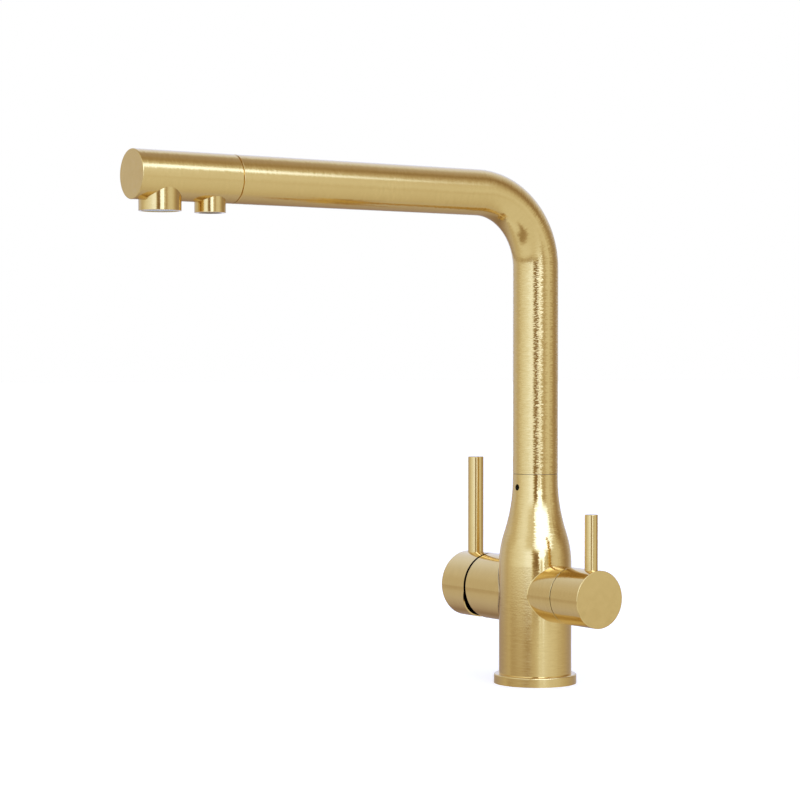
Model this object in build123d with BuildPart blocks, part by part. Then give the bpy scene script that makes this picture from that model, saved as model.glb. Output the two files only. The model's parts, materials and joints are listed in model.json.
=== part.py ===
from build123d import *

import math
import os

# Three way filtered water tap: hot, cold and filtered water through one swivel spout with two outlets.
# Millimetres. The origin is the centre of the base's underside, on the worktop, and +Z is up.
# The spout points to -Y, the filtered water knob is on +X and the mixer handle is on -X.

# ---------------------------------------- clearances
SEAT = 0.05  # radial room of a fixed piece in its seat
RUN = 0.05  # room of a running fit
FREE = 0.3  # room between moving pieces that only pass each other

# ---------------------------------------- overall sizes
SPOUT_HEIGHT = 302.07  # worktop to the centreline of the level spout
SPOUT_REACH = 280.12  # swivel axis to the end face of the head
HANDLE_HEIGHT = 56.6  # worktop to the shared axis of both handles
TUBE_RADIUS = 14.0
TUBE_WALL = 1.5
BEND_RADIUS = 45.0  # of the tube's centreline
SOFT_EDGE = 0.4  # rounding of the turned outer edges

# ---------------------------------------- body and base
BODY_RADIUS = 22.5
BODY_WALL = 5.0  # around the base's plug
SHOULDER_ABOVE_HANDLES = 16.9
SHOULDER_LENGTH = 53.5
SHOULDER_ARC = 64.5  # radius of the lower, swelling arc
NECK_STRAIGHT = 2.6
NECK_WALL = 2.5
FLANGE_STEP = 3.15  # beyond the body, all round
FLANGE_HEIGHT = 5.9
PLUG_LENGTH = 16.1  # of the base, above the flange
INLET_CIRCLE = 11.0  # radius of the circle of hose sockets
INLET_SOCKET_RADIUS = 4.5  # M10x1, tapped
INLET_SOCKET_DEPTH = 12.0
STUD_HOLE_RADIUS = 3.4  # M8, tapped
STUD_HOLE_DEPTH = 14.0
RISER_RADIUS = 2.8
RISER_OVERRUN = 1.0  # past the far side of the passage it meets
BASE_SEAL_CORD = 1.8
BASE_SEAL_RIM = 0.8  # wall between a riser and its seal
GASKET_RIM = 1.65  # of the flange outside its gasket
GASKET_WIDTH = 4.0
GASKET_THICKNESS = 1.6
BASE_SCREW_RADIUS = 2.0  # M4
BASE_SCREW_HEAD_RADIUS = 3.5
BASE_SCREW_HEAD = 4.0
BASE_SCREW_RECESS = 6.0  # underside to the screw's head
BASE_SCREW_BITE = 8.0  # length in the body
BASE_SCREW_KEY = 3.0  # across the flats of its socket

# ---------------------------------------- swivel of the spout
SPIGOT_DEPTH = 31.6  # of the neck's bore
SPIGOT_GRIP = 12.0  # of the spigot in the tube
SPIGOT_WALL = 2.6
BEARING_WALL = 0.85
BEARING_HEIGHT = 5.0
BEARING_FLANGE = 0.25
BEARING_FLANGE_INSET = 0.3  # inside the neck's outer surface
SPIGOT_SEAL_STATIONS = (10.0, 16.0)  # above the neck's ledge
SPIGOT_SEAL_FLOOR = 1.6  # depth of the grooves
SPIGOT_SEAL_WIDTH = 2.9
RETAINER_BELOW_TOP = 8.0  # neck's top to the retaining screw
RETAINER_GROOVE_DEPTH = 1.2
RETAINER_GROOVE_WIDTH = 3.2
RETAINER_RADIUS = 1.9
RETAINER_TIP_RADIUS = 1.2
RETAINER_SUNK = 1.0  # below the neck's surface
RETAINER_KEY = 2.0

# ---------------------------------------- chamber under the neck and feed of the inner hose
CHAMBER_ABOVE_HANDLES = 19.4
CHAMBER_RADIUS = 12.0
CHAMBER_HEIGHT = 14.0
THROAT_RADIUS = 8.5
NIPPLE_SEAT_RADIUS = 3.6
NIPPLE_FLANGE_RADIUS = 5.0
NIPPLE_FLANGE = 2.0
NIPPLE_LENGTH = 12.0  # above its flange
NIPPLE_RADIUS = 3.0
NIPPLE_BORE = 1.5
NIPPLE_SEAL_DEPTH = 0.9
NIPPLE_SEAL_WIDTH = 1.2
FERRULE_RADIUS = 5.5
FERRULE_GAP = 1.0  # over the nipple's flange
FERRULE_ROOF = 3.0
BARB_LENGTH = 12.0
BARB_BORE = 1.6
HOSE_RADIUS = 4.2
HOSE_BORE = 2.6
CRIMP_WALL = 0.6
CRIMP_LENGTH = 9.0

# ---------------------------------------- mixer cartridge, by distance from the body's axis
CARTRIDGE_RADIUS = 17.5
HOUSING_WALL = 3.2
HOUSING_END = 45.6
HOUSING_SPIGOT_WALL = 1.95  # of the end that sits in the body
CARTRIDGE_FLOOR = 17.0
CARTRIDGE_BASE_THICKNESS = 6.0
CARTRIDGE_SHELL_WALL = 2.1
CARTRIDGE_SHOULDER = 38.0
CARTRIDGE_NECK_END = 49.0
CARTRIDGE_NECK_WALL = 2.2
MIXER_PORT_RADIUS = 2.0
MIXER_INLET_SPREAD = 5.4  # of the hot and the cold port, each side of the middle
MIXER_INLET_RISE = 4.2
MIXER_OUTLET_DROP = 5.0
MIXER_OUTLET_RISER = 8.0  # from the body's axis
PORT_SEAL_CORD = 1.6
PORT_SEAL_RIM = 0.3
LOCATING_PIN_RADIUS = 1.5
LOCATING_PIN_LENGTH = 2.5
LOCATING_PIN_SPREAD = 10.0
LOCATING_PIN_DROP = 8.0
DISC_RADIUS = 13.5
DISC_THICKNESS = 4.0
DISC_SINK = 1.5  # of the fixed disc in the cartridge's base
MOVING_DISC_RADIUS = 11.6
MOVING_DISC_REST = -2.2  # its centre at rest, under the axis
POCKET_RADIUS = 4.4
POCKET_DEPTH = 2.0
CARRIER_THICKNESS = 5.2
SLEEVE_NECK_RADIUS = 11.2
SLEEVE_END = 50.0
SLEEVE_SLOT_HALF_HEIGHT = 7.2
TILT_PIVOT = 44.0
TILT_ANGLE = 24.0  # from closed to fully open
TILT_ARM = 10.5  # pivot to the stem's round end
STEM_END_RADIUS = 2.6
STEM_ARM_HALF = 2.2
STEM_SIDE = 7.0  # of its square section
STEM_SHOULDER = 40.0
STEM_TIP = 66.0
STEM_END_ROOM = 0.2
PIVOT_PIN_RADIUS = 2.0
PIVOT_PIN_HALF_LENGTH = 10.0
NUT_COLLAR_WIDTH = 30.0  # across its flats
NUT_SUNK = 1.0
NUT_COLLAR_HEIGHT = 3.9
NUT_HOUSING_WALL = 1.85  # of the housing around the nut

# ---------------------------------------- mixer handle
CAP_GAP = 1.8  # between the housing and the cap
CAP_END = 71.5
CAP_WALL = 1.95
CAP_FLOOR = 58.0
CAP_MOUTH_WALL = 0.9
CAP_MOUTH_DEPTH = 9.0
CAP_CUT_START = -2.5  # where the rim starts to slope back, from the axis
MIXER_LEVER_STATION = 62.8
MIXER_LEVER_RADIUS = 5.0
MIXER_LEVER_TOP = 138.4
LEVER_SINK = 1.75  # below the surface of the cap or the knob
LEVER_STUD_RADIUS = 2.5
LEVER_STUD_LENGTH = 8.0
HANDLE_SCREW_RADIUS = 2.5  # M5
HANDLE_SCREW_LENGTH = 8.0
HANDLE_SCREW_KEY = 2.5

# ---------------------------------------- filtered water valve, by distance from the body's axis
VALVE_FLOOR = 15.0
VALVE_FEED_RADIUS = 2.4
VALVE_SEAL_THICKNESS = 2.0
VALVE_SEAL_INNER = 6.2
VALVE_NOSE_RADIUS = 9.05
VALVE_NOSE_WALL = 1.5
VALVE_NOSE_END = 27.0
VALVE_THREAD_RADIUS = 10.45
VALVE_DISC_THICKNESS = 3.0
VALVE_PORT_RADIUS = 2.0
VALVE_PORT_OFFSET = 3.9
VALVE_WINDOW_START = 20.6
VALVE_WINDOW_END = 24.4
VALVE_WINDOW_WIDTH = 5.0
VALVE_RELIEF_RADIUS = 12.0
VALVE_RELIEF_START = 19.0
VALVE_RELIEF_END = 25.0
VALVE_FLANGE_RADIUS = 13.0
VALVE_FLANGE = 1.75
VALVE_FLANGE_SEAL = 11.6
VALVE_FLANGE_CORD = 1.2
VALVE_HEX = 20.0
VALVE_HEX_END = 41.0
VALVE_NECK_RADIUS = 7.0
VALVE_NECK_END = 44.5
SPINDLE_RADIUS = 5.0
SPINDLE_FLANGE = 1.9
SPINDLE_FOOT_RADIUS = 3.0
SPINDLE_TONGUE_WIDTH = 3.0
SPINDLE_TONGUE_LENGTH = 9.0
SPINDLE_TONGUE_DEPTH = 1.2
SPINDLE_SEAL_STATIONS = (31.0, 36.0)
SPINDLE_SEAL_DEPTH = 1.3
SPINDLE_SEAL_WIDTH = 1.7
CLIP_THICKNESS = 0.8
CLIP_INNER = 4.2
CLIP_OUTER = 6.5
CLIP_GAP = 3.0
SPINDLE_END_RADIUS = 4.0
SPINDLE_END = 54.0
SPINDLE_FLAT = 3.4  # spindle's axis to its flat
TRANSFER_RADIUS = 2.0

# ---------------------------------------- filtered water knob
KNOB_RADIUS = 17.5
BOSS_END = 36.75
BOSS_SPIGOT_WALL = 1.0  # outside the passage in the end that sits in the body
KNOB_GAP = 0.6  # between the boss and the knob
KNOB_END = 63.15
KNOB_FLOOR = 47.0
KNOB_WALL = 2.8
FILTER_LEVER_STATION = 55.05
FILTER_LEVER_RADIUS = 4.0
FILTER_LEVER_TOP = 107.3
KNOB_SCREW_STATION = 51.0

# ---------------------------------------- spout head and outlets
HEAD_LENGTH = 63.5
HEAD_WALL = 2.5
HEAD_GRIP = 12.0  # of the head's spigot in the tube
HEAD_SPIGOT_WALL = 2.45
HEAD_SEAL_DEPTH = 1.25
HEAD_SEAL_WIDTH = 1.8
HEAD_SEAL_STATION = 5.0  # from the spigot's free end
SEAM_GAP = 0.7  # width of the open line between the tube and the head
SEAM_DEPTH = 1.0
SEAM_BEVEL = 0.15
MAIN_OUTLET_FROM_END = 17.72
MAIN_OUTLET_RADIUS = 12.0
MAIN_OUTLET_SHOWN = 5.8  # of the collar below the head
MAIN_OUTLET_SEAT = 6.0  # spout's centreline down to the collar's top
MAIN_OUTLET_WALL = 1.5
MAIN_OUTLET_LIP = 1.5
AERATOR_INSET = 0.5
AERATOR_HEIGHT = 7.7
AERATOR_WALL = 2.2
AERATOR_WASHER = 2.0
MESH_INSET = 1.2
MESH_THICKNESS = 1.2
MESH_HOLE_RADIUS = 0.55
MESH_RINGS = 3
MESH_RIM = 1.1  # outside the outer ring of holes
FILTER_OUTLET_FROM_END = 49.5
FILTER_OUTLET_RADIUS = 8.9
FILTER_OUTLET_SHOWN = 5.7
FILTER_OUTLET_SEAT = 9.0
FILTER_OUTLET_BORE = 6.6
FILTER_OUTLET_BORE_DEPTH = 6.1
ELBOW_NIPPLE_RADIUS = 5.0
ELBOW_RADIUS = 6.5
ELBOW_ABOVE_AXIS = 5.0
ELBOW_BORE = 2.0
ELBOW_SEAL_DEPTH = 1.0
ELBOW_SEAL_WIDTH = 1.4
STRAIGHTENER_INSET = 0.9
STRAIGHTENER_HEIGHT = 3.2
STRAIGHTENER_HOLE_RADIUS = 1.1
STRAIGHTENER_HOLE_CIRCLE = 3.9
STRAIGHTENER_HOLES = 6

# ---------------------------------------- worked out from the sizes above
SHOULDER_Z = HANDLE_HEIGHT + SHOULDER_ABOVE_HANDLES
NECK_Z = SHOULDER_Z + SHOULDER_LENGTH
NECK_TOP = NECK_Z + NECK_STRAIGHT
NECK_RADIUS = TUBE_RADIUS
NECK_BORE = NECK_RADIUS - NECK_WALL
NECK_LEDGE = NECK_TOP - SPIGOT_DEPTH
PLUG_TOP = FLANGE_HEIGHT + PLUG_LENGTH
PLUG_RADIUS = BODY_RADIUS - BODY_WALL - SEAT
FLANGE_RADIUS = BODY_RADIUS + FLANGE_STEP
GASKET_OUTER = FLANGE_RADIUS - GASKET_RIM
GASKET_INNER = GASKET_OUTER - GASKET_WIDTH
CHAMBER_Z = HANDLE_HEIGHT + CHAMBER_ABOVE_HANDLES
BEARING_TOP = NECK_TOP + BEARING_FLANGE
SPOUT_FOOT = BEARING_TOP + RUN
SPIGOT_RADIUS = NECK_BORE - BEARING_WALL - RUN
SPIGOT_BORE = SPIGOT_RADIUS - SPIGOT_WALL
TUBE_BORE = TUBE_RADIUS - TUBE_WALL
RETAINER_Z = NECK_TOP - RETAINER_BELOW_TOP
NIPPLE_TOP = CHAMBER_Z + NIPPLE_FLANGE + NIPPLE_LENGTH
NIPPLE_SEAL_Z = NIPPLE_TOP - NIPPLE_LENGTH / 4
FERRULE_FOOT = CHAMBER_Z + NIPPLE_FLANGE + FERRULE_GAP
HOSE_FOOT = NIPPLE_TOP + FERRULE_GAP + FERRULE_ROOF
TRANSFER_Z = HANDLE_HEIGHT + VALVE_RELIEF_RADIUS

HOUSING_RADIUS = CARTRIDGE_RADIUS + SEAT + HOUSING_WALL
HOUSING_SPIGOT_RADIUS = CARTRIDGE_RADIUS + SEAT + HOUSING_SPIGOT_WALL
NUT_THREAD_RADIUS = HOUSING_RADIUS - NUT_HOUSING_WALL
PIN_HOLE_FLOOR = CARTRIDGE_FLOOR - LOCATING_PIN_LENGTH
DISC_FACE = CARTRIDGE_FLOOR + CARTRIDGE_BASE_THICKNESS - DISC_SINK + DISC_THICKNESS
MOVING_DISC_FACE = DISC_FACE + RUN
CARRIER_START = MOVING_DISC_FACE + DISC_THICKNESS
CARRIER_END = CARRIER_START + CARRIER_THICKNESS
CARTRIDGE_CAVITY = CARTRIDGE_RADIUS - CARTRIDGE_SHELL_WALL
SLEEVE_RING_RADIUS = CARTRIDGE_CAVITY - FREE
SLEEVE_RING_END = CARTRIDGE_SHOULDER - CARTRIDGE_SHELL_WALL
CARTRIDGE_NECK_BORE = SLEEVE_NECK_RADIUS + RUN
CARTRIDGE_NECK_RADIUS = CARTRIDGE_NECK_BORE + CARTRIDGE_NECK_WALL
STEM_END_STATION = TILT_PIVOT - TILT_ARM
DISC_TRAVEL = TILT_ARM * math.radians(TILT_ANGLE)
MIXER_INLET_Z = HANDLE_HEIGHT + MIXER_INLET_RISE
CAP_RIM = HOUSING_END + CAP_GAP
CAP_BORE = HOUSING_RADIUS - CAP_WALL
CAP_MOUTH_RADIUS = HOUSING_RADIUS - CAP_MOUTH_WALL

VALVE_DISC_START = VALVE_FLOOR + VALVE_SEAL_THICKNESS
VALVE_DISC_FACE = VALVE_DISC_START + VALVE_DISC_THICKNESS
VALVE_CAVITY = VALVE_NOSE_RADIUS - VALVE_NOSE_WALL
VALVE_DISC_RADIUS = VALVE_CAVITY - SEAT
VALVE_MOVING_FACE = VALVE_DISC_FACE + RUN
VALVE_MOVING_END = VALVE_MOVING_FACE + VALVE_DISC_THICKNESS
BOSS_SPIGOT_RADIUS = VALVE_RELIEF_RADIUS + TRANSFER_RADIUS + BOSS_SPIGOT_WALL
KNOB_START = BOSS_END + KNOB_GAP
KNOB_BORE = KNOB_RADIUS - KNOB_WALL

HEAD_START = SPOUT_REACH - HEAD_LENGTH
TUBE_END = HEAD_START - SEAM_GAP
HEAD_SPIGOT_RADIUS = TUBE_BORE - SEAT
HEAD_SPIGOT_BORE = HEAD_SPIGOT_RADIUS - HEAD_SPIGOT_WALL
HEAD_CAVITY = TUBE_RADIUS - HEAD_WALL
MAIN_OUTLET_Y = MAIN_OUTLET_FROM_END - SPOUT_REACH
FILTER_OUTLET_Y = FILTER_OUTLET_FROM_END - SPOUT_REACH
MAIN_OUTLET_BOTTOM = SPOUT_HEIGHT - TUBE_RADIUS - MAIN_OUTLET_SHOWN
MAIN_OUTLET_TOP = SPOUT_HEIGHT - MAIN_OUTLET_SEAT
FILTER_OUTLET_BOTTOM = SPOUT_HEIGHT - TUBE_RADIUS - FILTER_OUTLET_SHOWN
FILTER_OUTLET_TOP = SPOUT_HEIGHT - FILTER_OUTLET_SEAT
HOSE_END = SPOUT_REACH - FILTER_OUTLET_FROM_END - ELBOW_RADIUS

# ---------------------------------------- working planes: local y is up on the level ones
MIXER_AXIS = Plane((0, 0, HANDLE_HEIGHT), x_dir=(0, -1, 0), z_dir=(-1, 0, 0))
FILTER_AXIS = Plane((0, 0, HANDLE_HEIGHT), x_dir=(0, 1, 0), z_dir=(1, 0, 0))
TILT_AXIS = Plane((-TILT_PIVOT, 0, HANDLE_HEIGHT), x_dir=(1, 0, 0), z_dir=(0, 1, 0))
SPOUT_AXIS = Plane((0, 0, SPOUT_HEIGHT), x_dir=(1, 0, 0), z_dir=(0, -1, 0))
RETAINER_AXIS = Plane((0, 0, RETAINER_Z), x_dir=(1, 0, 0), z_dir=(0, -1, 0))
MAIN_OUTLET_AXIS = Plane((0, MAIN_OUTLET_Y, 0), x_dir=(1, 0, 0), z_dir=(0, 0, 1))
FILTER_OUTLET_AXIS = Plane((0, FILTER_OUTLET_Y, 0), x_dir=(1, 0, 0), z_dir=(0, 0, 1))
MIXER_LEVER_AXIS = Plane((-MIXER_LEVER_STATION, 0, HANDLE_HEIGHT), x_dir=(1, 0, 0), z_dir=(0, 0, 1))
MIXER_SCREW_AXIS = Plane((-MIXER_LEVER_STATION, 0, HANDLE_HEIGHT), x_dir=(1, 0, 0), z_dir=(0, 0, -1))
FILTER_LEVER_AXIS = Plane((FILTER_LEVER_STATION, 0, HANDLE_HEIGHT), x_dir=(1, 0, 0), z_dir=(0, 0, 1))
KNOB_SCREW_AXIS = Plane((KNOB_SCREW_STATION, 0, HANDLE_HEIGHT), x_dir=(1, 0, 0), z_dir=(0, 0, -1))

UPWARD = (Align.CENTER, Align.CENTER, Align.MIN)
CENTRED = ((0, 0),)


def around(radius, count, first_angle=0.0):
    """Points evenly spaced on a circle."""
    step = 2 * math.pi / count
    first = math.radians(first_angle)
    return [
        (radius * math.cos(first + i * step), radius * math.sin(first + i * step)) for i in range(count)
    ]


def turned(plane, radius, start, end, at=CENTRED, mode=Mode.ADD):
    """A cylinder square to a plane, between two distances from it, at one or more points."""
    with Locations(plane.offset(start)):
        with Locations(*at):
            Cylinder(radius, end - start, align=UPWARD, mode=mode)


def bored(plane, radius, start, end, at=CENTRED):
    """A round hole square to a plane, between two distances from it."""
    turned(plane, radius, start, end, at, Mode.SUBTRACT)


def grooved(plane, floor, outer, start, end, at=CENTRED):
    """A ring-shaped groove between two radii."""
    with BuildSketch(plane.offset(start)) as ring:
        with Locations(*at):
            Circle(outer)
        with Locations(*at):
            Circle(floor, mode=Mode.SUBTRACT)
    extrude(ring.sketch, amount=end - start, mode=Mode.SUBTRACT)


def block(plane, width, height, start, end, middle=(0, 0), mode=Mode.ADD):
    """A rectangular bar square to a plane, between two distances from it."""
    with Locations(plane.offset(start)):
        with Locations(middle):
            Box(width, height, end - start, align=UPWARD, mode=mode)


def hexagon(plane, across, start, end, mode=Mode.ADD, at=CENTRED):
    """A hexagonal bar or key socket, by its width across the flats."""
    with BuildSketch(plane.offset(start)) as outline:
        with Locations(*at):
            RegularPolygon(across / 2, 6, major_radius=False)
    extrude(outline.sketch, amount=end - start, mode=mode)


def seal(plane, inner, outer, station, at=CENTRED):
    """A round-section sealing ring that fills the room between two radii."""
    with Locations(plane.offset(station)):
        with Locations(*at):
            Torus((inner + outer) / 2, (outer - inner) / 2)


def rims(piece, plane, radius, station):
    """The circular edges of one radius, centred on a plane's axis at a distance from it."""
    centre = plane.from_local_coords((0, 0, station))
    near = 0.001
    return piece.edges().filter_by(
        lambda edge: edge.geom_type == GeomType.CIRCLE
        and abs(edge.radius - radius) < near
        and (edge.arc_center - centre).length < near
    )


def keep(piece, name):
    """Labels a finished piece and writes it."""
    piece.part.label = name
    export_step(piece.part, f"parts/{name}.step")


os.makedirs("parts", exist_ok=True)

FILTERED_SPOT, HOT_SPOT, COLD_SPOT = around(INLET_CIRCLE, 3)
INLET_SPOTS = (FILTERED_SPOT, HOT_SPOT, COLD_SPOT)
BASE_SCREW_SPOTS = around(INLET_CIRCLE, 3, 60)
MIXER_OUTLET = (0, -MIXER_OUTLET_DROP)
MIXER_PORTS = (
    (MIXER_INLET_SPREAD, MIXER_INLET_RISE),
    (-MIXER_INLET_SPREAD, MIXER_INLET_RISE),
    MIXER_OUTLET,
)
LOCATING_SPOTS = ((LOCATING_PIN_SPREAD, -LOCATING_PIN_DROP), (-LOCATING_PIN_SPREAD, -LOCATING_PIN_DROP))

# ---------------------------------------- body casting
def bottle(room=0.0, mode=Mode.ADD):
    """The body's turned outside, from the flange to the neck, with some room added to its radius.

    The shoulder is two arcs, each upright where it meets the straight body or the neck.
    """
    slope = 2 * math.atan((BODY_RADIUS - NECK_RADIUS) / SHOULDER_LENGTH)
    body, neck = BODY_RADIUS + room, NECK_RADIUS + room
    waist = (body - SHOULDER_ARC * (1 - math.cos(slope)), SHOULDER_Z + SHOULDER_ARC * math.sin(slope))
    with BuildSketch(Plane.XZ) as outline:
        with BuildLine():
            Polyline((0, NECK_TOP), (0, FLANGE_HEIGHT), (body, FLANGE_HEIGHT), (body, SHOULDER_Z))
            TangentArc((body, SHOULDER_Z), waist, tangent=(0, 1))
            TangentArc(waist, (neck, NECK_Z), tangent=(-math.sin(slope), math.cos(slope)))
            Polyline((neck, NECK_Z), (neck, NECK_TOP), (0, NECK_TOP))
        make_face()
    revolve(outline.sketch, axis=Axis.Z, mode=mode)


with BuildPart() as body_casting:
    bottle()
    # pockets that the mixer housing and the filter boss are brazed into
    bored(MIXER_AXIS, HOUSING_SPIGOT_RADIUS + SEAT, CARTRIDGE_FLOOR, HOUSING_END)
    bored(FILTER_AXIS, BOSS_SPIGOT_RADIUS + SEAT, VALVE_FLOOR, BOSS_END)
    # seat of the base and the risers over its sockets
    bored(Plane.XY, PLUG_RADIUS + SEAT, FLANGE_HEIGHT, PLUG_TOP)
    inlet_top = MIXER_INLET_Z + MIXER_PORT_RADIUS + RISER_OVERRUN
    bored(Plane.XY, RISER_RADIUS, PLUG_TOP, inlet_top, (COLD_SPOT, HOT_SPOT))
    feed_top = HANDLE_HEIGHT + VALVE_FEED_RADIUS + RISER_OVERRUN
    bored(Plane.XY, RISER_RADIUS, PLUG_TOP, feed_top, (FILTERED_SPOT,))
    bored(Plane.XY, BASE_SCREW_RADIUS + SEAT, PLUG_TOP, PLUG_TOP + BASE_SCREW_BITE, BASE_SCREW_SPOTS)
    # mixer cartridge: ports and locating holes
    for spot, side in ((COLD_SPOT, -MIXER_INLET_SPREAD), (HOT_SPOT, MIXER_INLET_SPREAD)):
        riser_end = Vector(*spot, MIXER_INLET_Z)
        passage = Vector(-CARTRIDGE_FLOOR, side, MIXER_INLET_Z) - riser_end
        bored(Plane(riser_end, z_dir=passage), MIXER_PORT_RADIUS, 0, passage.length + MIXER_PORT_RADIUS)
    bored(MIXER_AXIS, MIXER_PORT_RADIUS, MIXER_OUTLET_RISER, CARTRIDGE_FLOOR, (MIXER_OUTLET,))
    bored(MIXER_AXIS, LOCATING_PIN_RADIUS, PIN_HOLE_FLOOR, CARTRIDGE_FLOOR, LOCATING_SPOTS)
    # mixed water rises behind the cartridge into the chamber
    outlet_floor = HANDLE_HEIGHT - MIXER_OUTLET_DROP - MIXER_PORT_RADIUS - RISER_OVERRUN
    bored(Plane.XY, RISER_RADIUS, outlet_floor, CHAMBER_Z, ((-MIXER_OUTLET_RISER, 0),))
    bored(Plane.XY, CHAMBER_RADIUS, CHAMBER_Z, CHAMBER_Z + CHAMBER_HEIGHT)
    bored(Plane.XY, THROAT_RADIUS, CHAMBER_Z + CHAMBER_HEIGHT, NECK_LEDGE)
    bored(Plane.XY, NECK_BORE, NECK_LEDGE, NECK_TOP)
    # filtered water valve: feed, and the passage back up to the inner hose
    bored(FILTER_AXIS, VALVE_FEED_RADIUS, FILTERED_SPOT[0], VALVE_FLOOR)
    bored(FILTER_AXIS, TRANSFER_RADIUS, 0, VALVE_FLOOR, ((0, VALVE_RELIEF_RADIUS),))
    transfer_floor = TRANSFER_Z - TRANSFER_RADIUS - RISER_OVERRUN
    bored(Plane.XY, NIPPLE_SEAT_RADIUS, transfer_floor, CHAMBER_Z)
    # retaining screw's thread through the neck
    bored(RETAINER_AXIS, RETAINER_RADIUS + SEAT, SPIGOT_RADIUS, BODY_RADIUS)
keep(body_casting, "body_casting")

# ---------------------------------------- mixer housing and filter boss, saddled onto the body
with BuildPart() as mixer_housing:
    turned(MIXER_AXIS, HOUSING_RADIUS, 0, HOUSING_END)
    fillet(rims(mixer_housing, MIXER_AXIS, HOUSING_RADIUS, HOUSING_END), SOFT_EDGE)
    bottle(SEAT, Mode.SUBTRACT)
    turned(MIXER_AXIS, HOUSING_SPIGOT_RADIUS, CARTRIDGE_FLOOR, BODY_RADIUS)
    bored(MIXER_AXIS, CARTRIDGE_RADIUS + SEAT, CARTRIDGE_FLOOR, HOUSING_END)
    bored(MIXER_AXIS, NUT_THREAD_RADIUS, CARTRIDGE_SHOULDER, HOUSING_END)
keep(mixer_housing, "mixer_housing")

with BuildPart() as filter_boss:
    turned(FILTER_AXIS, KNOB_RADIUS, 0, BOSS_END)
    fillet(rims(filter_boss, FILTER_AXIS, KNOB_RADIUS, BOSS_END), SOFT_EDGE / 2)
    bottle(SEAT, Mode.SUBTRACT)
    turned(FILTER_AXIS, BOSS_SPIGOT_RADIUS, VALVE_FLOOR, BODY_RADIUS)
    bored(FILTER_AXIS, VALVE_NOSE_RADIUS + SEAT, VALVE_FLOOR, VALVE_NOSE_END)
    bored(FILTER_AXIS, VALVE_THREAD_RADIUS + SEAT, VALVE_NOSE_END, BOSS_END)
    bored(FILTER_AXIS, VALVE_RELIEF_RADIUS, VALVE_RELIEF_START, VALVE_RELIEF_END)
    relief_middle = (VALVE_RELIEF_START + VALVE_RELIEF_END) / 2
    bored(FILTER_AXIS, TRANSFER_RADIUS, VALVE_FLOOR, relief_middle, ((0, VALVE_RELIEF_RADIUS),))
keep(filter_boss, "filter_boss")

# ---------------------------------------- base with the flange, sockets and stud hole
base_seal_inner = RISER_RADIUS + BASE_SEAL_RIM
base_seal_outer = base_seal_inner + BASE_SEAL_CORD

with BuildPart() as base_flange:
    turned(Plane.XY, FLANGE_RADIUS, 0, FLANGE_HEIGHT)
    fillet(rims(base_flange, Plane.XY, FLANGE_RADIUS, FLANGE_HEIGHT), 2 * SOFT_EDGE)
    turned(Plane.XY, PLUG_RADIUS, FLANGE_HEIGHT, PLUG_TOP)
    grooved(Plane.XY, GASKET_INNER, GASKET_OUTER, 0, GASKET_THICKNESS)
    bored(Plane.XY, STUD_HOLE_RADIUS, 0, STUD_HOLE_DEPTH)
    bored(Plane.XY, INLET_SOCKET_RADIUS, 0, INLET_SOCKET_DEPTH, INLET_SPOTS)
    bored(Plane.XY, RISER_RADIUS, INLET_SOCKET_DEPTH, PLUG_TOP, INLET_SPOTS)
    bored(Plane.XY, BASE_SCREW_HEAD_RADIUS + SEAT, 0, BASE_SCREW_RECESS + BASE_SCREW_HEAD, BASE_SCREW_SPOTS)
    bored(Plane.XY, BASE_SCREW_RADIUS + SEAT, BASE_SCREW_RECESS, PLUG_TOP, BASE_SCREW_SPOTS)
    for spot in INLET_SPOTS:
        grooved(Plane.XY, base_seal_inner, base_seal_outer, PLUG_TOP - BASE_SEAL_CORD, PLUG_TOP, (spot,))
keep(base_flange, "base_flange")

with BuildPart() as base_gasket:
    turned(Plane.XY, GASKET_OUTER - SEAT, 0, GASKET_THICKNESS)
    bored(Plane.XY, GASKET_INNER + SEAT, 0, GASKET_THICKNESS)
keep(base_gasket, "base_gasket")

with BuildPart() as base_seals:
    seal(Plane.XY, base_seal_inner, base_seal_outer, PLUG_TOP - BASE_SEAL_CORD / 2, INLET_SPOTS)
keep(base_seals, "base_seals")

with BuildPart() as base_screws:
    head_top = BASE_SCREW_RECESS + BASE_SCREW_HEAD
    turned(Plane.XY, BASE_SCREW_HEAD_RADIUS, BASE_SCREW_RECESS, head_top, BASE_SCREW_SPOTS)
    turned(Plane.XY, BASE_SCREW_RADIUS, head_top, PLUG_TOP + BASE_SCREW_BITE, BASE_SCREW_SPOTS)
    key_end = BASE_SCREW_RECESS + BASE_SCREW_HEAD / 2
    hexagon(Plane.XY, BASE_SCREW_KEY, BASE_SCREW_RECESS, key_end, Mode.SUBTRACT, BASE_SCREW_SPOTS)
keep(base_screws, "base_screws")

# ---------------------------------------- mixer cartridge: the parts that stay put
port_seal_inner = MIXER_PORT_RADIUS + PORT_SEAL_RIM
port_seal_outer = port_seal_inner + PORT_SEAL_CORD
base_end = CARTRIDGE_FLOOR + CARTRIDGE_BASE_THICKNESS

with BuildPart() as mixer_cartridge_base:
    turned(MIXER_AXIS, CARTRIDGE_RADIUS, CARTRIDGE_FLOOR, base_end)
    turned(MIXER_AXIS, LOCATING_PIN_RADIUS - SEAT, PIN_HOLE_FLOOR, CARTRIDGE_FLOOR, LOCATING_SPOTS)
    bored(MIXER_AXIS, DISC_RADIUS + SEAT, base_end - DISC_SINK, base_end)
    bored(MIXER_AXIS, MIXER_PORT_RADIUS, CARTRIDGE_FLOOR, base_end, MIXER_PORTS)
    for port in MIXER_PORTS:
        grooved(
            MIXER_AXIS,
            port_seal_inner,
            port_seal_outer,
            CARTRIDGE_FLOOR,
            CARTRIDGE_FLOOR + PORT_SEAL_CORD,
            (port,),
        )
keep(mixer_cartridge_base, "mixer_cartridge_base")

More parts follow.
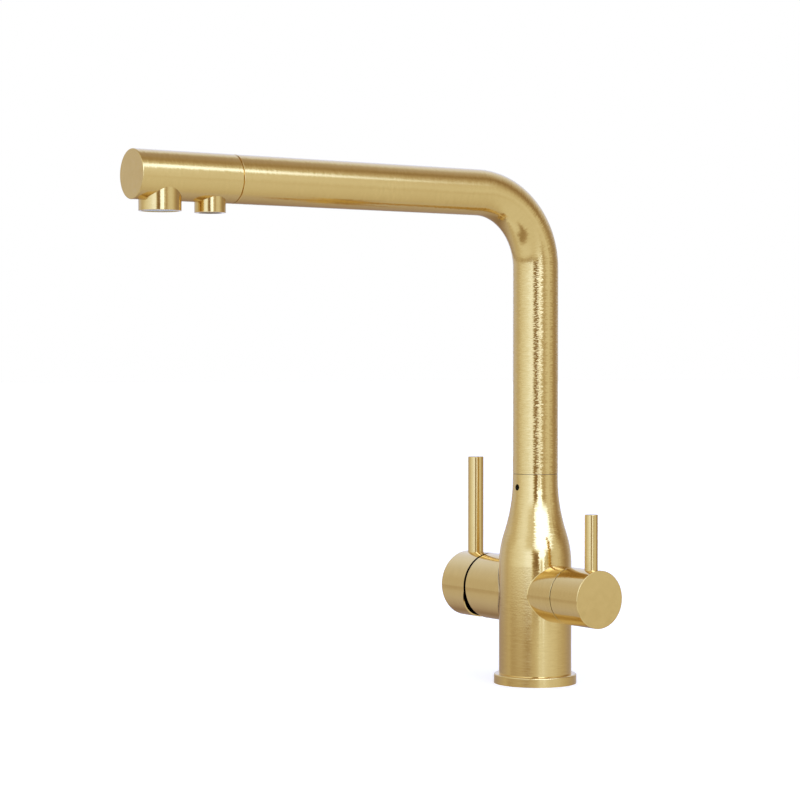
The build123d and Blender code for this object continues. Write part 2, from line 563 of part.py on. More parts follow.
with BuildPart() as mixer_port_seals:
    seal(MIXER_AXIS, port_seal_inner, port_seal_outer, CARTRIDGE_FLOOR + PORT_SEAL_CORD / 2, MIXER_PORTS)
keep(mixer_port_seals, "mixer_port_seals")

with BuildPart() as mixer_fixed_disc:
    turned(MIXER_AXIS, DISC_RADIUS, DISC_FACE - DISC_THICKNESS, DISC_FACE)
    bored(MIXER_AXIS, MIXER_PORT_RADIUS, DISC_FACE - DISC_THICKNESS, DISC_FACE, MIXER_PORTS)
keep(mixer_fixed_disc, "mixer_fixed_disc")

with BuildPart() as mixer_cartridge_shell:
    turned(MIXER_AXIS, CARTRIDGE_RADIUS, base_end, CARTRIDGE_SHOULDER)
    turned(MIXER_AXIS, CARTRIDGE_NECK_RADIUS, CARTRIDGE_SHOULDER, CARTRIDGE_NECK_END)
    bored(MIXER_AXIS, CARTRIDGE_CAVITY, base_end, SLEEVE_RING_END + 2 * RUN)
    bored(MIXER_AXIS, CARTRIDGE_NECK_BORE, SLEEVE_RING_END, CARTRIDGE_NECK_END)
keep(mixer_cartridge_shell, "mixer_cartridge_shell")

nut_face = HOUSING_END - NUT_SUNK
with BuildPart() as mixer_cartridge_nut:
    turned(MIXER_AXIS, NUT_THREAD_RADIUS - SEAT, CARTRIDGE_SHOULDER, nut_face)
    hexagon(MIXER_AXIS, NUT_COLLAR_WIDTH, nut_face, nut_face + NUT_COLLAR_HEIGHT)
    bored(MIXER_AXIS, CARTRIDGE_NECK_RADIUS + SEAT, CARTRIDGE_SHOULDER, nut_face + NUT_COLLAR_HEIGHT)
keep(mixer_cartridge_nut, "mixer_cartridge_nut")

# ---------------------------------------- mixer cartridge: the part that turns for temperature
slide_reach = max(MOVING_DISC_REST + DISC_TRAVEL, -MOVING_DISC_REST)

with BuildPart() as mixer_turning_sleeve:
    ring_start = DISC_FACE + FREE
    turned(MIXER_AXIS, SLEEVE_RING_RADIUS, ring_start, SLEEVE_RING_END)
    turned(MIXER_AXIS, SLEEVE_NECK_RADIUS, SLEEVE_RING_END, SLEEVE_END)
    with BuildSketch(MIXER_AXIS.offset(ring_start)):
        SlotCenterToCenter(2 * slide_reach, 2 * (MOVING_DISC_RADIUS + FREE), rotation=90)
    extrude(amount=CARRIER_END + FREE - ring_start, mode=Mode.SUBTRACT)
    slot_height = 2 * SLEEVE_SLOT_HALF_HEIGHT
    block(MIXER_AXIS, STEM_SIDE + 2 * RUN, slot_height, ring_start, SLEEVE_END, mode=Mode.SUBTRACT)
    bored(TILT_AXIS, PIVOT_PIN_RADIUS + SEAT, -SLEEVE_NECK_RADIUS, SLEEVE_NECK_RADIUS)
keep(mixer_turning_sleeve, "mixer_turning_sleeve")

with BuildPart() as mixer_pivot_pin:
    turned(TILT_AXIS, PIVOT_PIN_RADIUS, -PIVOT_PIN_HALF_LENGTH, PIVOT_PIN_HALF_LENGTH)
keep(mixer_pivot_pin, "mixer_pivot_pin")

# ---------------------------------------- mixer cartridge: the part that slides for flow
with BuildPart() as mixer_moving_disc:
    turned(MIXER_AXIS, MOVING_DISC_RADIUS, MOVING_DISC_FACE, CARRIER_START, ((0, MOVING_DISC_REST),))
    # The pocket always covers the outlet. It covers the inlets only when the disc has slid up.
    with BuildSketch(MIXER_AXIS.offset(MOVING_DISC_FACE)):
        with Locations((0, -DISC_TRAVEL / 2)):
            SlotCenterToCenter(DISC_TRAVEL, 2 * POCKET_RADIUS, rotation=90)
    extrude(amount=POCKET_DEPTH, mode=Mode.SUBTRACT)
keep(mixer_moving_disc, "mixer_moving_disc")

with BuildPart() as mixer_disc_carrier:
    turned(MIXER_AXIS, MOVING_DISC_RADIUS, CARRIER_START, CARRIER_END, ((0, MOVING_DISC_REST),))
    block(
        MIXER_AXIS,
        STEM_SIDE + 2 * FREE,
        2 * (STEM_END_RADIUS + STEM_END_ROOM),
        STEM_END_STATION - STEM_END_RADIUS - FREE,
        CARRIER_END,
        mode=Mode.SUBTRACT,
    )
keep(mixer_disc_carrier, "mixer_disc_carrier")

# ---------------------------------------- mixer handle
with BuildPart() as mixer_stem:
    half = STEM_SIDE / 2
    block(MIXER_AXIS, STEM_SIDE, STEM_SIDE, STEM_SHOULDER, STEM_TIP)
    block(MIXER_AXIS, STEM_SIDE, 2 * STEM_ARM_HALF, STEM_END_STATION, STEM_SHOULDER)
    turned(TILT_AXIS, STEM_END_RADIUS, -half, half, ((TILT_ARM, 0),))
    bored(TILT_AXIS, PIVOT_PIN_RADIUS + RUN, -half, half)
keep(mixer_stem, "mixer_stem")

lever_seat = HOUSING_RADIUS - LEVER_SINK
with BuildPart() as mixer_handle_cap:
    turned(MIXER_AXIS, HOUSING_RADIUS, CAP_RIM, CAP_END)
    fillet(rims(mixer_handle_cap, MIXER_AXIS, HOUSING_RADIUS, CAP_END), SOFT_EDGE)
    bored(MIXER_AXIS, CAP_BORE, CAP_RIM, CAP_FLOOR)
    bored(MIXER_AXIS, CAP_MOUTH_RADIUS, CAP_RIM, CAP_RIM + CAP_MOUTH_DEPTH)
    # below the axis the rim slopes back by the handle's whole tilt, to clear the housing when it opens
    with BuildSketch(Plane.XZ.offset(-HOUSING_RADIUS)):
        cut_z = HANDLE_HEIGHT + CAP_CUT_START
        cut_depth = HOUSING_RADIUS
        slope_back = (cut_depth + CAP_CUT_START) * math.tan(math.radians(TILT_ANGLE))
        with BuildLine():
            Polyline(
                (-CAP_RIM, cut_z),
                (-CAP_RIM - slope_back, HANDLE_HEIGHT - cut_depth),
                (-CAP_RIM, HANDLE_HEIGHT - cut_depth),
                close=True,
            )
        make_face()
    extrude(amount=2 * HOUSING_RADIUS, mode=Mode.SUBTRACT)
    stem_socket = STEM_SIDE + 2 * SEAT
    block(MIXER_AXIS, stem_socket, stem_socket, CAP_FLOOR, STEM_TIP + FREE, mode=Mode.SUBTRACT)
    bored(MIXER_LEVER_AXIS, MIXER_LEVER_RADIUS + SEAT, lever_seat, HOUSING_RADIUS)
    bored(MIXER_LEVER_AXIS, LEVER_STUD_RADIUS + SEAT, lever_seat - LEVER_STUD_LENGTH, lever_seat)
    bored(MIXER_SCREW_AXIS, HANDLE_SCREW_RADIUS + SEAT, STEM_SIDE / 2, HOUSING_RADIUS)
keep(mixer_handle_cap, "mixer_handle_cap")

lever_end = MIXER_LEVER_TOP - HANDLE_HEIGHT
with BuildPart() as mixer_lever:
    turned(MIXER_LEVER_AXIS, MIXER_LEVER_RADIUS, lever_seat, lever_end)
    fillet(rims(mixer_lever, MIXER_LEVER_AXIS, MIXER_LEVER_RADIUS, lever_end), SOFT_EDGE)
    turned(MIXER_LEVER_AXIS, LEVER_STUD_RADIUS, lever_seat - LEVER_STUD_LENGTH, lever_seat)
keep(mixer_lever, "mixer_lever")

with BuildPart() as mixer_handle_screw:
    screw_start = STEM_SIDE / 2
    screw_end = screw_start + HANDLE_SCREW_LENGTH
    turned(MIXER_SCREW_AXIS, HANDLE_SCREW_RADIUS, screw_start, screw_end)
    hexagon(MIXER_SCREW_AXIS, HANDLE_SCREW_KEY, screw_end - HANDLE_SCREW_KEY, screw_end, Mode.SUBTRACT)
keep(mixer_handle_screw, "mixer_handle_screw")

# ---------------------------------------- filtered water valve: the parts that stay put
with BuildPart() as filter_seat_seal:
    turned(FILTER_AXIS, VALVE_NOSE_RADIUS, VALVE_FLOOR, VALVE_DISC_START)
    bored(FILTER_AXIS, VALVE_SEAL_INNER, VALVE_FLOOR, VALVE_DISC_START)
keep(filter_seat_seal, "filter_seat_seal")

with BuildPart() as filter_fixed_disc:
    turned(FILTER_AXIS, VALVE_DISC_RADIUS, VALVE_DISC_START, VALVE_DISC_FACE)
    upper_and_lower = ((0, VALVE_PORT_OFFSET), (0, -VALVE_PORT_OFFSET))
    bored(FILTER_AXIS, VALVE_PORT_RADIUS, VALVE_DISC_START, VALVE_DISC_FACE, upper_and_lower)
keep(filter_fixed_disc, "filter_fixed_disc")

flange_end = BOSS_END + VALVE_FLANGE
flange_seal_inner = VALVE_FLANGE_SEAL - VALVE_FLANGE_CORD / 2
flange_seal_outer = VALVE_FLANGE_SEAL + VALVE_FLANGE_CORD / 2
with BuildPart() as filter_valve_body:
    turned(FILTER_AXIS, VALVE_NOSE_RADIUS, VALVE_DISC_START, VALVE_NOSE_END)
    turned(FILTER_AXIS, VALVE_THREAD_RADIUS, VALVE_NOSE_END, BOSS_END)
    turned(FILTER_AXIS, VALVE_FLANGE_RADIUS, BOSS_END, flange_end)
    hexagon(FILTER_AXIS, VALVE_HEX, flange_end, VALVE_HEX_END)
    turned(FILTER_AXIS, VALVE_NECK_RADIUS, VALVE_HEX_END, VALVE_NECK_END)
    bored(FILTER_AXIS, VALVE_CAVITY, VALVE_DISC_START, VALVE_NOSE_END)
    bored(FILTER_AXIS, SPINDLE_RADIUS + RUN, VALVE_NOSE_END, VALVE_NECK_END)
    across = 2 * VALVE_NOSE_RADIUS
    for width, height in ((across, VALVE_WINDOW_WIDTH), (VALVE_WINDOW_WIDTH, across)):
        block(FILTER_AXIS, width, height, VALVE_WINDOW_START, VALVE_WINDOW_END, mode=Mode.SUBTRACT)
    grooved(FILTER_AXIS, flange_seal_inner, flange_seal_outer, BOSS_END, BOSS_END + VALVE_FLANGE_CORD)
keep(filter_valve_body, "filter_valve_body")

with BuildPart() as filter_valve_seal:
    seal(FILTER_AXIS, flange_seal_inner, flange_seal_outer, BOSS_END + VALVE_FLANGE_CORD / 2)
keep(filter_valve_seal, "filter_valve_seal")

# ---------------------------------------- filtered water handle
spindle_seal_floor = SPINDLE_RADIUS - SPINDLE_SEAL_DEPTH
spindle_flange_end = VALVE_NOSE_END - 2 * RUN
spindle_flange_start = spindle_flange_end - SPINDLE_FLANGE
clip_start = VALVE_NECK_END + RUN
clip_end = clip_start + CLIP_THICKNESS
tongue_start = VALVE_MOVING_END - SPINDLE_TONGUE_DEPTH

with BuildPart() as filter_moving_disc:
    turned(FILTER_AXIS, VALVE_CAVITY - FREE, VALVE_MOVING_FACE, VALVE_MOVING_END)
    left_and_right = ((VALVE_PORT_OFFSET, 0), (-VALVE_PORT_OFFSET, 0))
    bored(FILTER_AXIS, VALVE_PORT_RADIUS, VALVE_MOVING_FACE, VALVE_MOVING_END, left_and_right)
    block(
        FILTER_AXIS,
        SPINDLE_TONGUE_WIDTH + 2 * SEAT,
        SPINDLE_TONGUE_LENGTH + 2 * SEAT,
        tongue_start,
        VALVE_MOVING_END,
        mode=Mode.SUBTRACT,
    )
keep(filter_moving_disc, "filter_moving_disc")

with BuildPart() as filter_spindle:
    block(FILTER_AXIS, SPINDLE_TONGUE_WIDTH, SPINDLE_TONGUE_LENGTH, tongue_start, spindle_flange_start)
    turned(FILTER_AXIS, SPINDLE_FOOT_RADIUS, VALVE_MOVING_END, spindle_flange_start)
    turned(FILTER_AXIS, VALVE_CAVITY - FREE, spindle_flange_start, spindle_flange_end)
    turned(FILTER_AXIS, SPINDLE_RADIUS, spindle_flange_end, clip_end + SEAT)
    turned(FILTER_AXIS, SPINDLE_END_RADIUS, clip_end, SPINDLE_END)
    for station in SPINDLE_SEAL_STATIONS:
        half = SPINDLE_SEAL_WIDTH / 2
        grooved(FILTER_AXIS, spindle_seal_floor, SPINDLE_RADIUS, station - half, station + half)
    grooved(FILTER_AXIS, CLIP_INNER, SPINDLE_RADIUS, clip_start, clip_end)
    flat_depth = SPINDLE_END_RADIUS - SPINDLE_FLAT
    block(
        FILTER_AXIS,
        2 * SPINDLE_END_RADIUS,
        flat_depth,
        KNOB_FLOOR,
        SPINDLE_END,
        (0, -SPINDLE_FLAT - flat_depth / 2),
        Mode.SUBTRACT,
    )
keep(filter_spindle, "filter_spindle")

with BuildPart() as filter_spindle_clip:
    turned(FILTER_AXIS, CLIP_OUTER, clip_start, clip_end)
    bored(FILTER_AXIS, CLIP_INNER + SEAT, clip_start, clip_end)
    block(FILTER_AXIS, CLIP_GAP, CLIP_OUTER, clip_start, clip_end, (0, CLIP_OUTER / 2), Mode.SUBTRACT)
keep(filter_spindle_clip, "filter_spindle_clip")

with BuildPart() as filter_spindle_seals:
    for station in SPINDLE_SEAL_STATIONS:
        seal(FILTER_AXIS, spindle_seal_floor, SPINDLE_RADIUS, station)
keep(filter_spindle_seals, "filter_spindle_seals")

knob_lever_seat = KNOB_RADIUS - LEVER_SINK
with BuildPart() as filter_knob:
    turned(FILTER_AXIS, KNOB_RADIUS, KNOB_START, KNOB_END)
    fillet(rims(filter_knob, FILTER_AXIS, KNOB_RADIUS, KNOB_END), SOFT_EDGE)
    fillet(rims(filter_knob, FILTER_AXIS, KNOB_RADIUS, KNOB_START), SOFT_EDGE / 2)
    bored(FILTER_AXIS, KNOB_BORE, KNOB_START, KNOB_FLOOR)
    bored(FILTER_AXIS, SPINDLE_END_RADIUS + SEAT, KNOB_FLOOR, SPINDLE_END + FREE)
    bored(FILTER_LEVER_AXIS, FILTER_LEVER_RADIUS + SEAT, knob_lever_seat, KNOB_RADIUS)
    bored(FILTER_LEVER_AXIS, LEVER_STUD_RADIUS + SEAT, knob_lever_seat - LEVER_STUD_LENGTH, knob_lever_seat)
    bored(KNOB_SCREW_AXIS, HANDLE_SCREW_RADIUS + SEAT, SPINDLE_FLAT, KNOB_RADIUS)
keep(filter_knob, "filter_knob")

knob_lever_end = FILTER_LEVER_TOP - HANDLE_HEIGHT
with BuildPart() as filter_lever:
    turned(FILTER_LEVER_AXIS, FILTER_LEVER_RADIUS, knob_lever_seat, knob_lever_end)
    fillet(rims(filter_lever, FILTER_LEVER_AXIS, FILTER_LEVER_RADIUS, knob_lever_end), SOFT_EDGE)
    turned(FILTER_LEVER_AXIS, LEVER_STUD_RADIUS, knob_lever_seat - LEVER_STUD_LENGTH, knob_lever_seat)
keep(filter_lever, "filter_lever")

with BuildPart() as filter_knob_screw:
    screw_end = SPINDLE_FLAT + HANDLE_SCREW_LENGTH
    turned(KNOB_SCREW_AXIS, HANDLE_SCREW_RADIUS, SPINDLE_FLAT, screw_end)
    hexagon(KNOB_SCREW_AXIS, HANDLE_SCREW_KEY, screw_end - HANDLE_SCREW_KEY, screw_end, Mode.SUBTRACT)
keep(filter_knob_screw, "filter_knob_screw")

# ---------------------------------------- nipple that feeds the inner hose on the swivel axis
nipple_seal_floor = NIPPLE_RADIUS - NIPPLE_SEAL_DEPTH
with BuildPart() as filter_nipple:
    turned(Plane.XY, NIPPLE_SEAT_RADIUS - SEAT, TRANSFER_Z + TRANSFER_RADIUS, CHAMBER_Z)
    turned(Plane.XY, NIPPLE_FLANGE_RADIUS, CHAMBER_Z, CHAMBER_Z + NIPPLE_FLANGE)
    turned(Plane.XY, NIPPLE_RADIUS, CHAMBER_Z + NIPPLE_FLANGE, NIPPLE_TOP)
    bored(Plane.XY, NIPPLE_BORE, TRANSFER_Z + TRANSFER_RADIUS, NIPPLE_TOP)
    half = NIPPLE_SEAL_WIDTH / 2
    grooved(Plane.XY, nipple_seal_floor, NIPPLE_RADIUS, NIPPLE_SEAL_Z - half, NIPPLE_SEAL_Z + half)
keep(filter_nipple, "filter_nipple")

with BuildPart() as filter_nipple_seal:
    seal(Plane.XY, nipple_seal_floor, NIPPLE_RADIUS, NIPPLE_SEAL_Z)
keep(filter_nipple_seal, "filter_nipple_seal")

# ---------------------------------------- bearings and retaining screw in the neck
with BuildPart() as spout_upper_bearing:
    turned(Plane.XY, NECK_BORE - SEAT, NECK_TOP - BEARING_HEIGHT, NECK_TOP)
    turned(Plane.XY, NECK_RADIUS - BEARING_FLANGE_INSET, NECK_TOP, BEARING_TOP)
    bored(Plane.XY, SPIGOT_RADIUS + RUN, NECK_TOP - BEARING_HEIGHT, BEARING_TOP)
keep(spout_upper_bearing, "spout_upper_bearing")

with BuildPart() as spout_lower_bearing:
    turned(Plane.XY, NECK_BORE - SEAT, NECK_LEDGE, NECK_LEDGE + BEARING_HEIGHT)
    bored(Plane.XY, SPIGOT_RADIUS + RUN, NECK_LEDGE, NECK_LEDGE + BEARING_HEIGHT)
keep(spout_lower_bearing, "spout_lower_bearing")

groove_floor = SPIGOT_RADIUS - RETAINER_GROOVE_DEPTH
with BuildPart() as spout_retaining_screw:
    screw_end = NECK_RADIUS - RETAINER_SUNK
    turned(RETAINER_AXIS, RETAINER_RADIUS, NECK_BORE, screw_end)
    turned(RETAINER_AXIS, RETAINER_TIP_RADIUS, groove_floor + FREE, NECK_BORE)
    hexagon(RETAINER_AXIS, RETAINER_KEY, screw_end - RETAINER_KEY / 2, screw_end, Mode.SUBTRACT)
keep(spout_retaining_screw, "spout_retaining_screw")

# ---------------------------------------- spout tube and its spigot
with BuildPart() as spout_tube:
    with BuildLine(Plane.YZ):
        FilletPolyline((0, SPOUT_FOOT), (0, SPOUT_HEIGHT), (-TUBE_END, SPOUT_HEIGHT), radius=BEND_RADIUS)
    with BuildSketch(Plane.XY.offset(SPOUT_FOOT)):
        Circle(TUBE_RADIUS)
        Circle(TUBE_BORE, mode=Mode.SUBTRACT)
    sweep()
    chamfer(rims(spout_tube, SPOUT_AXIS, TUBE_RADIUS, TUBE_END), SEAM_BEVEL)
keep(spout_tube, "spout_tube")

seal_floor = SPIGOT_RADIUS - SPIGOT_SEAL_FLOOR
seal_heights = [NECK_LEDGE + station for station in SPIGOT_SEAL_STATIONS]
with BuildPart() as spout_spigot:
    turned(Plane.XY, SPIGOT_RADIUS, NECK_LEDGE + FREE, SPOUT_FOOT)
    turned(Plane.XY, TUBE_BORE - SEAT, SPOUT_FOOT, SPOUT_FOOT + SPIGOT_GRIP)
    bored(Plane.XY, SPIGOT_BORE, NECK_LEDGE + FREE, SPOUT_FOOT + SPIGOT_GRIP)
    for height in seal_heights:
        half = SPIGOT_SEAL_WIDTH / 2
        grooved(Plane.XY, seal_floor, SPIGOT_RADIUS, height - half, height + half)
    half = RETAINER_GROOVE_WIDTH / 2
    grooved(Plane.XY, groove_floor, SPIGOT_RADIUS, RETAINER_Z - half, RETAINER_Z + half)
keep(spout_spigot, "spout_spigot")

with BuildPart() as spout_spigot_seals:
    for height in seal_heights:
        seal(Plane.XY, seal_floor, NECK_BORE - RUN, height)
keep(spout_spigot_seals, "spout_spigot_seals")

# ---------------------------------------- spout head
head_spigot_start = HEAD_START - HEAD_GRIP
head_seal_station = head_spigot_start + HEAD_SEAL_STATION
head_seal_floor = HEAD_SPIGOT_RADIUS - HEAD_SEAL_DEPTH
with BuildPart() as spout_head:
    turned(SPOUT_AXIS, TUBE_RADIUS, HEAD_START, SPOUT_REACH)
    chamfer(rims(spout_head, SPOUT_AXIS, TUBE_RADIUS, HEAD_START), SEAM_BEVEL)
    fillet(rims(spout_head, SPOUT_AXIS, TUBE_RADIUS, SPOUT_REACH), SOFT_EDGE)
    turned(SPOUT_AXIS, TUBE_RADIUS - SEAM_DEPTH, TUBE_END, HEAD_START)
    turned(SPOUT_AXIS, HEAD_SPIGOT_RADIUS, head_spigot_start, TUBE_END)
    bored(SPOUT_AXIS, HEAD_SPIGOT_BORE, head_spigot_start, HEAD_START)
    bored(SPOUT_AXIS, HEAD_CAVITY, HEAD_START, SPOUT_REACH - HEAD_WALL)
    half = HEAD_SEAL_WIDTH / 2
    grooved(
        SPOUT_AXIS, head_seal_floor, HEAD_SPIGOT_RADIUS, head_seal_station - half, head_seal_station + half
    )
    bored(MAIN_OUTLET_AXIS, MAIN_OUTLET_RADIUS + SEAT, MAIN_OUTLET_BOTTOM, MAIN_OUTLET_TOP)
    bored(FILTER_OUTLET_AXIS, FILTER_OUTLET_RADIUS + SEAT, FILTER_OUTLET_BOTTOM, FILTER_OUTLET_TOP)
keep(spout_head, "spout_head")

with BuildPart() as spout_head_seal:
    seal(SPOUT_AXIS, head_seal_floor, TUBE_BORE - SEAT / 2, head_seal_station)
keep(spout_head_seal, "spout_head_seal")

# ---------------------------------------- main outlet
aerator_bottom = MAIN_OUTLET_BOTTOM + AERATOR_INSET
aerator_top = aerator_bottom + AERATOR_HEIGHT
washer_top = aerator_top + AERATOR_WASHER
main_outlet_bore = MAIN_OUTLET_RADIUS - MAIN_OUTLET_WALL
aerator_bore = main_outlet_bore - SEAT - AERATOR_WALL
with BuildPart() as main_outlet_collar:
    turned(MAIN_OUTLET_AXIS, MAIN_OUTLET_RADIUS, MAIN_OUTLET_BOTTOM, MAIN_OUTLET_TOP)
    chamfer(
        rims(main_outlet_collar, MAIN_OUTLET_AXIS, MAIN_OUTLET_RADIUS, MAIN_OUTLET_BOTTOM), SOFT_EDGE / 2
    )
    bored(MAIN_OUTLET_AXIS, main_outlet_bore, MAIN_OUTLET_BOTTOM, washer_top)
    bored(MAIN_OUTLET_AXIS, main_outlet_bore - MAIN_OUTLET_LIP, washer_top, MAIN_OUTLET_TOP)
keep(main_outlet_collar, "main_outlet_collar")

with BuildPart() as aerator_housing:
    turned(MAIN_OUTLET_AXIS, main_outlet_bore - SEAT, aerator_bottom, aerator_top)
    bored(MAIN_OUTLET_AXIS, aerator_bore, aerator_bottom, aerator_top)
keep(aerator_housing, "aerator_housing")

with BuildPart() as aerator_mesh:
    mesh_bottom = aerator_bottom + MESH_INSET
    mesh_top = mesh_bottom + MESH_THICKNESS
    mesh_radius = aerator_bore - SEAT
    mesh_pitch = (mesh_radius - MESH_RIM - MESH_HOLE_RADIUS) / MESH_RINGS
    turned(MAIN_OUTLET_AXIS, mesh_radius, mesh_bottom, mesh_top)
    bored(MAIN_OUTLET_AXIS, MESH_HOLE_RADIUS, mesh_bottom, mesh_top)
    for ring in range(1, MESH_RINGS + 1):
        bored(MAIN_OUTLET_AXIS, MESH_HOLE_RADIUS, mesh_bottom, mesh_top, around(ring * mesh_pitch, 6 * ring))
keep(aerator_mesh, "aerator_mesh")

with BuildPart() as aerator_washer:
    turned(MAIN_OUTLET_AXIS, main_outlet_bore - SEAT, aerator_top, washer_top)
    bored(MAIN_OUTLET_AXIS, main_outlet_bore - MAIN_OUTLET_LIP, aerator_top, washer_top)
keep(aerator_washer, "aerator_washer")

# ---------------------------------------- filtered water outlet
collar_step = FILTER_OUTLET_BOTTOM + FILTER_OUTLET_BORE_DEPTH
with BuildPart() as filter_outlet_collar:
    turned(FILTER_OUTLET_AXIS, FILTER_OUTLET_RADIUS, FILTER_OUTLET_BOTTOM, FILTER_OUTLET_TOP)
    chamfer(
        rims(filter_outlet_collar, FILTER_OUTLET_AXIS, FILTER_OUTLET_RADIUS, FILTER_OUTLET_BOTTOM),
        SOFT_EDGE / 2,
    )
    bored(FILTER_OUTLET_AXIS, FILTER_OUTLET_BORE, FILTER_OUTLET_BOTTOM, collar_step)
    bored(FILTER_OUTLET_AXIS, ELBOW_NIPPLE_RADIUS + SEAT, collar_step, FILTER_OUTLET_TOP)
keep(filter_outlet_collar, "filter_outlet_collar")

with BuildPart() as filter_flow_straightener:
    straightener_bottom = FILTER_OUTLET_BOTTOM + STRAIGHTENER_INSET
    straightener_top = straightener_bottom + STRAIGHTENER_HEIGHT
    turned(FILTER_OUTLET_AXIS, FILTER_OUTLET_BORE - SEAT, straightener_bottom, straightener_top)
    holes = [(0, 0)] + around(STRAIGHTENER_HOLE_CIRCLE, STRAIGHTENER_HOLES)
    bored(FILTER_OUTLET_AXIS, STRAIGHTENER_HOLE_RADIUS, straightener_bottom, straightener_top, holes)
keep(filter_flow_straightener, "filter_flow_straightener")

elbow_seal_z = (collar_step + FILTER_OUTLET_TOP) / 2
elbow_seal_floor = ELBOW_NIPPLE_RADIUS - ELBOW_SEAL_DEPTH
with BuildPart() as filter_outlet_elbow:
    turned(FILTER_OUTLET_AXIS, ELBOW_NIPPLE_RADIUS, collar_step, FILTER_OUTLET_TOP)
    turned(FILTER_OUTLET_AXIS, ELBOW_RADIUS, FILTER_OUTLET_TOP, SPOUT_HEIGHT + ELBOW_ABOVE_AXIS)
    turned(SPOUT_AXIS, HOSE_BORE - SEAT, HOSE_END - BARB_LENGTH, HOSE_END + ELBOW_RADIUS)
    turned(SPOUT_AXIS, HOSE_RADIUS, HOSE_END, HOSE_END + ELBOW_RADIUS)
    bored(FILTER_OUTLET_AXIS, ELBOW_BORE, collar_step, SPOUT_HEIGHT)
    bored(SPOUT_AXIS, BARB_BORE, HOSE_END - BARB_LENGTH, HOSE_END + ELBOW_RADIUS)
    low = elbow_seal_z - ELBOW_SEAL_WIDTH / 2
    grooved(FILTER_OUTLET_AXIS, elbow_seal_floor, ELBOW_NIPPLE_RADIUS, low, low + ELBOW_SEAL_WIDTH)
keep(filter_outlet_elbow, "filter_outlet_elbow")

with BuildPart() as filter_elbow_seal:
    seal(FILTER_OUTLET_AXIS, elbow_seal_floor, ELBOW_NIPPLE_RADIUS, elbow_seal_z)
keep(filter_elbow_seal, "filter_elbow_seal")

# ---------------------------------------- inner hose for filtered water, along the spout's centreline
with BuildPart() as filter_hose_ferrule:
    turned(Plane.XY, FERRULE_RADIUS, FERRULE_FOOT, HOSE_FOOT)
    turned(Plane.XY, HOSE_BORE - SEAT, HOSE_FOOT, HOSE_FOOT + BARB_LENGTH)
    bored(Plane.XY, NIPPLE_RADIUS + RUN, FERRULE_FOOT, NIPPLE_TOP + FERRULE_GAP)
    bored(Plane.XY, BARB_BORE, NIPPLE_TOP + FERRULE_GAP, HOSE_FOOT + BARB_LENGTH)
keep(filter_hose_ferrule, "filter_hose_ferrule")

with BuildPart() as filter_inner_hose:
    with BuildLine(Plane.YZ):
        FilletPolyline((0, HOSE_FOOT), (0, SPOUT_HEIGHT), (-HOSE_END, SPOUT_HEIGHT), radius=BEND_RADIUS)
    with BuildSketch(Plane.XY.offset(HOSE_FOOT)):
        Circle(HOSE_RADIUS)
        Circle(HOSE_BORE, mode=Mode.SUBTRACT)
    sweep()
keep(filter_inner_hose, "filter_inner_hose")

with BuildPart() as filter_hose_crimps:
    crimp_foot = HOSE_FOOT + (BARB_LENGTH - CRIMP_LENGTH) / 2
    crimp_start = HOSE_END - (BARB_LENGTH + CRIMP_LENGTH) / 2
    for plane, start in ((Plane.XY, crimp_foot), (SPOUT_AXIS, crimp_start)):
        turned(plane, HOSE_RADIUS + SEAT + CRIMP_WALL, start, start + CRIMP_LENGTH)
        bored(plane, HOSE_RADIUS + SEAT, start, start + CRIMP_LENGTH)
keep(filter_hose_crimps, "filter_hose_crimps")
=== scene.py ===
import json
import math

import bpy
from mathutils import Matrix, Vector

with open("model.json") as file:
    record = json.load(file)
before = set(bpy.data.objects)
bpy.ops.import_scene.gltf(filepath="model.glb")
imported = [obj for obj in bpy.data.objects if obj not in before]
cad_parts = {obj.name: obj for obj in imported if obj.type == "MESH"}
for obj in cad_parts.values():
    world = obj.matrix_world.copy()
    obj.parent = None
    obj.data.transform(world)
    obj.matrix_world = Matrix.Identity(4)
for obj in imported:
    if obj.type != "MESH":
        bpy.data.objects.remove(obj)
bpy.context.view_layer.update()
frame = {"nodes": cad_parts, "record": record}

# ---------------------------------------- camera, placed from the photograph's outlines
CAMERA_PLACE = Vector((1.1143, -0.8570, 0.1953))
CAMERA_FORWARD = Vector((-0.8276, 0.5611, -0.0142)).normalized()
CAMERA_ROLL = math.radians(0.033)
CAMERA_LENS = 101.8
CAMERA_SENSOR = 36.0
CAMERA_CLIP = (0.05, 60.0)

camera_data = bpy.data.cameras.new("camera")
camera_data.lens = CAMERA_LENS
camera_data.sensor_width = CAMERA_SENSOR
camera_data.clip_start, camera_data.clip_end = CAMERA_CLIP
camera = bpy.data.objects.new("camera", camera_data)
bpy.context.scene.collection.objects.link(camera)
camera.matrix_world = (
    Matrix.Translation(CAMERA_PLACE)
    @ CAMERA_FORWARD.to_track_quat("-Z", "Y").to_matrix().to_4x4()
    @ Matrix.Rotation(CAMERA_ROLL, 4, "Z")
)
bpy.context.scene.camera = camera

# The studio is laid out about the direction from the tap to the photographer.
TO_CAMERA = Vector((0.8277, -0.5612, 0.0))
TO_RIGHT = Vector((0.5612, 0.8277, 0.0))


# ---------------------------------------- node helpers
def add(tree, kind, inputs=None, **settings):
    """A shader node. Inputs are values or the sockets that feed them."""
    made = tree.nodes.new(kind)
    for key, value in settings.items():
        setattr(made, key, value)
    for key, value in (inputs or {}).items():
        if isinstance(value, bpy.types.NodeSocket):
            tree.links.new(value, made.inputs[key])
        else:
            made.inputs[key].default_value = value
    return made


def calc(tree, operation, *values):
    """The result of one Math node."""
    return add(tree, "ShaderNodeMath", dict(enumerate(values)), operation=operation).outputs[0]


def vector(tree, operation, *values):
    """The vector that one Vector Math node gives."""
    return add(tree, "ShaderNodeVectorMath", dict(enumerate(values)), operation=operation).outputs["Vector"]


